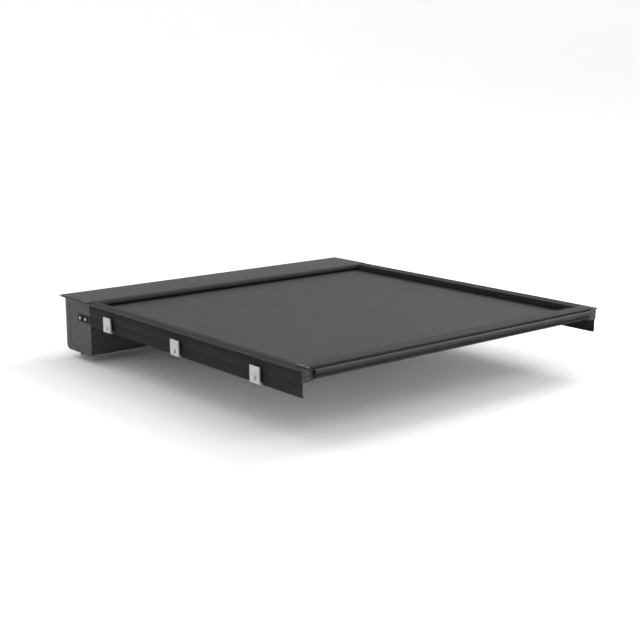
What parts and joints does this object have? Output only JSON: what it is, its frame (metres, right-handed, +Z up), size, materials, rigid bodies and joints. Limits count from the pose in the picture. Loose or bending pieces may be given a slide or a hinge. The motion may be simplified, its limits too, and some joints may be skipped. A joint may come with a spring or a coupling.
{
  "type": "tonneau cover",
  "caption": "Retractable pick-up bed cover: vinyl-faced slatted curtain in two clamp-on side rails, rounded lead bar with tail seal, electric roller canister at the cab end.",
  "frame": {"origin": "middle of the underside of the canister's front flange, where it rests on the bed's front wall", "axes": "X across the bed to the vehicle's right, +Y forward to the cab, +Z up"},
  "size_m": [1.426, 1.495, 0.24],
  "materials": {
    "canister_coat": "satin black-grey powder coat",
    "lid_coat": "fine-textured charcoal powder coat",
    "screw_steel": "blackened stainless steel",
    "brush_black": "black nylon brush pile",
    "mill_aluminium": "mill-finish extrusion",
    "acetal_black": "moulded acetal",
    "zinc_steel": "zinc plated",
    "motor_steel": "grey painted tube",
    "webbing_black": "coated woven strap sheet",
    "pipe_black": "moulded rubber-like plastic",
    "panel_plastic": "fine moulded grain",
    "board_green": "solder mask",
    "button_grey": "soft-touch grey",
    "rail_coat": "satin charcoal powder coat",
    "seal_rubber": "black EPDM",
    "felt_black": "black felt",
    "nylon_white": "natural nylon",
    "cap_plastic": "moulded grain",
    "bar_cap_grey": "grey moulded grain",
    "cast_aluminium": "cast, tumbled",
    "pad_rubber": "ribbed rubber",
    "bar_coat": "fine-textured charcoal powder coat",
    "strip_coat": "satin black",
    "vinyl_skin": "matte leather-grain vinyl",
    "slat_aluminium": "mill-finish extrusion"
  },
  "bodies": {
    "base": {"canister_shell": "canister_coat", "canister_lid": "lid_coat", "lid_screws": "screw_steel", "end_plate_left": "canister_coat", "end_plate_right": "canister_coat", "end_plate_screws": "screw_steel", "mouth_brush": "brush_black", "guide_roller_bushes": "acetal_black", "idler_bearing": "zinc_steel", "tubular_motor": "motor_steel", "motor_bracket": "zinc_steel", "leader_sheet": "webbing_black", "drain_spouts": "pipe_black", "control_housing": "panel_plastic", "control_board": "board_green", "power_socket": "panel_plastic", "rail_left": "rail_coat", "rail_right": "rail_coat", "rail_seals": "seal_rubber", "rail_felts": "felt_black", "rail_wear_strips": "nylon_white", "rail_end_caps": "cap_plastic", "rail_joiners": "zinc_steel", "clamp_jaws": "cast_aluminium", "clamp_pads": "pad_rubber", "clamp_bolts": "zinc_steel", "clamp_nuts": "zinc_steel", "curtain_skin": "vinyl_skin"},
    "lead_bar": {"lead_bar": "bar_coat", "lead_bar_caps": "bar_cap_grey", "lead_bar_glides": "acetal_black", "skin_clamp_strip": "strip_coat", "tail_seal": "seal_rubber"},
    "drum": {"drum_tube": "mill_aluminium", "drive_crown": "acetal_black", "head_ring": "acetal_black", "idler_plug": "acetal_black"},
    "guide_roller": {"guide_roller": "mill_aluminium"},
    "open_button": {"open_button": "button_grey"},
    "close_button": {"close_button": "button_grey"},
    "slats_01": {"slats_01": "slat_aluminium"},
    "slats_02": {"slats_02": "slat_aluminium"},
    "slats_03": {"slats_03": "slat_aluminium"},
    "slats_04": {"slats_04": "slat_aluminium"},
    "slats_05": {"slats_05": "slat_aluminium"},
    "slats_06": {"slats_06": "slat_aluminium"},
    "slats_07": {"slats_07": "slat_aluminium"},
    "slats_08": {"slats_08": "slat_aluminium"},
    "slats_09": {"slats_09": "slat_aluminium"},
    "slats_10": {"slats_10": "slat_aluminium"},
    "slats_11": {"slats_11": "slat_aluminium"},
    "slats_12": {"slats_12": "slat_aluminium"},
    "slats_13": {"slats_13": "slat_aluminium"},
    "slats_14": {"slats_14": "slat_aluminium"},
    "slats_15": {"slats_15": "slat_aluminium"},
    "slats_16": {"slats_16": "slat_aluminium"},
    "slats_17": {"slats_17": "slat_aluminium"},
    "slats_18": {"slats_18": "slat_aluminium"},
    "slats_19": {"slats_19": "slat_aluminium"},
    "slats_20": {"slats_20": "slat_aluminium"}
  },
  "joints": [
    {"name": "cover_slide", "type": "slide", "parent": "base", "child": "lead_bar", "axis": [0, 1, 0], "range_m": [0, 1.205], "deforming": ["curtain_skin", "leader_sheet"]},
    {"name": "drum_spin", "type": "hinge", "parent": "base", "child": "drum", "pos_m": [0, -0.105, -0.118], "axis": [-1, 0, 0], "range_deg": [0, 1350]},
    {"name": "guide_roller_spin", "type": "hinge", "parent": "base", "child": "guide_roller", "pos_m": [0, -0.186, -0.0424], "axis": [-1, 0, 0], "range_deg": [0, 6910]},
    {"name": "open_button_press", "type": "slide", "parent": "base", "child": "open_button", "axis": [0, 1, 0], "range_m": [0, 0.0025], "stiffness_N_per_m": 800, "springref_m": -0.0005},
    {"name": "close_button_press", "type": "slide", "parent": "base", "child": "close_button", "axis": [0, 1, 0], "range_m": [0, 0.0025], "stiffness_N_per_m": 800, "springref_m": -0.0005},
    {"name": "slats_01_slide", "type": "slide", "parent": "base", "child": "slats_01", "axis": [0, 1, 0], "range_m": [0, 0.03013], "deforming": ["slats_01"]},
    {"name": "slats_02_slide", "type": "slide", "parent": "base", "child": "slats_02", "axis": [0, 1, 0], "range_m": [0, 0.09038], "deforming": ["slats_02"]},
    {"name": "slats_03_slide", "type": "slide", "parent": "base", "child": "slats_03", "axis": [0, 1, 0], "range_m": [0, 0.15063], "deforming": ["slats_03"]},
    {"name": "slats_04_slide", "type": "slide", "parent": "base", "child": "slats_04", "axis": [0, 1, 0], "range_m": [0, 0.21088], "deforming": ["slats_04"]},
    {"name": "slats_05_slide", "type": "slide", "parent": "base", "child": "slats_05", "axis": [0, 1, 0], "range_m": [0, 0.27113], "deforming": ["slats_05"]},
    {"name": "slats_06_slide", "type": "slide", "parent": "base", "child": "slats_06", "axis": [0, 1, 0], "range_m": [0, 0.33138], "deforming": ["slats_06"]},
    {"name": "slats_07_slide", "type": "slide", "parent": "base", "child": "slats_07", "axis": [0, 1, 0], "range_m": [0, 0.39162], "deforming": ["slats_07"]},
    {"name": "slats_08_slide", "type": "slide", "parent": "base", "child": "slats_08", "axis": [0, 1, 0], "range_m": [0, 0.45187], "deforming": ["slats_08"]},
    {"name": "slats_09_slide", "type": "slide", "parent": "base", "child": "slats_09", "axis": [0, 1, 0], "range_m": [0, 0.51212], "deforming": ["slats_09"]},
    {"name": "slats_10_slide", "type": "slide", "parent": "base", "child": "slats_10", "axis": [0, 1, 0], "range_m": [0, 0.57237], "deforming": ["slats_10"]},
    {"name": "slats_11_slide", "type": "slide", "parent": "base", "child": "slats_11", "axis": [0, 1, 0], "range_m": [0, 0.63262], "deforming": ["slats_11"]},
    {"name": "slats_12_slide", "type": "slide", "parent": "base", "child": "slats_12", "axis": [0, 1, 0], "range_m": [0, 0.69287], "deforming": ["slats_12"]},
    {"name": "slats_13_slide", "type": "slide", "parent": "base", "child": "slats_13", "axis": [0, 1, 0], "range_m": [0, 0.75311], "deforming": ["slats_13"]},
    {"name": "slats_14_slide", "type": "slide", "parent": "base", "child": "slats_14", "axis": [0, 1, 0], "range_m": [0, 0.81336], "deforming": ["slats_14"]},
    {"name": "slats_15_slide", "type": "slide", "parent": "base", "child": "slats_15", "axis": [0, 1, 0], "range_m": [0, 0.87361], "deforming": ["slats_15"]},
    {"name": "slats_16_slide", "type": "slide", "parent": "base", "child": "slats_16", "axis": [0, 1, 0], "range_m": [0, 0.93386], "deforming": ["slats_16"]},
    {"name": "slats_17_slide", "type": "slide", "parent": "base", "child": "slats_17", "axis": [0, 1, 0], "range_m": [0, 0.99411], "deforming": ["slats_17"]},
    {"name": "slats_18_slide", "type": "slide", "parent": "base", "child": "slats_18", "axis": [0, 1, 0], "range_m": [0, 1.05436], "deforming": ["slats_18"]},
    {"name": "slats_19_slide", "type": "slide", "parent": "base", "child": "slats_19", "axis": [0, 1, 0], "range_m": [0, 1.11461], "deforming": ["slats_19"]},
    {"name": "slats_20_slide", "type": "slide", "parent": "base", "child": "slats_20", "axis": [0, 1, 0], "range_m": [0, 1.17485], "deforming": ["slats_20"]}
  ],
  "couplings": [
    {"joint": "drum_spin", "follows": "cover_slide", "rad_per_m": 19.5},
    {"joint": "guide_roller_spin", "follows": "cover_slide", "rad_per_m": 100},
    {"joint": "slats_01_slide", "follows": "cover_slide", "ratio": 0.024999},
    {"joint": "slats_02_slide", "follows": "cover_slide", "ratio": 0.074998},
    {"joint": "slats_03_slide", "follows": "cover_slide", "ratio": 0.125},
    {"joint": "slats_04_slide", "follows": "cover_slide", "ratio": 0.175},
    {"joint": "slats_05_slide", "follows": "cover_slide", "ratio": 0.22499},
    {"joint": "slats_06_slide", "follows": "cover_slide", "ratio": 0.27499},
    {"joint": "slats_07_slide", "follows": "cover_slide", "ratio": 0.32499},
    {"joint": "slats_08_slide", "follows": "cover_slide", "ratio": 0.37499},
    {"joint": "slats_09_slide", "follows": "cover_slide", "ratio": 0.42499},
    {"joint": "slats_10_slide", "follows": "cover_slide", "ratio": 0.47499},
    {"joint": "slats_11_slide", "follows": "cover_slide", "ratio": 0.52499},
    {"joint": "slats_12_slide", "follows": "cover_slide", "ratio": 0.57498},
    {"joint": "slats_13_slide", "follows": "cover_slide", "ratio": 0.62498},
    {"joint": "slats_14_slide", "follows": "cover_slide", "ratio": 0.67498},
    {"joint": "slats_15_slide", "follows": "cover_slide", "ratio": 0.72498},
    {"joint": "slats_16_slide", "follows": "cover_slide", "ratio": 0.77498},
    {"joint": "slats_17_slide", "follows": "cover_slide", "ratio": 0.82498},
    {"joint": "slats_18_slide", "follows": "cover_slide", "ratio": 0.87498},
    {"joint": "slats_19_slide", "follows": "cover_slide", "ratio": 0.92497},
    {"joint": "slats_20_slide", "follows": "cover_slide", "ratio": 0.97497}
  ]
}
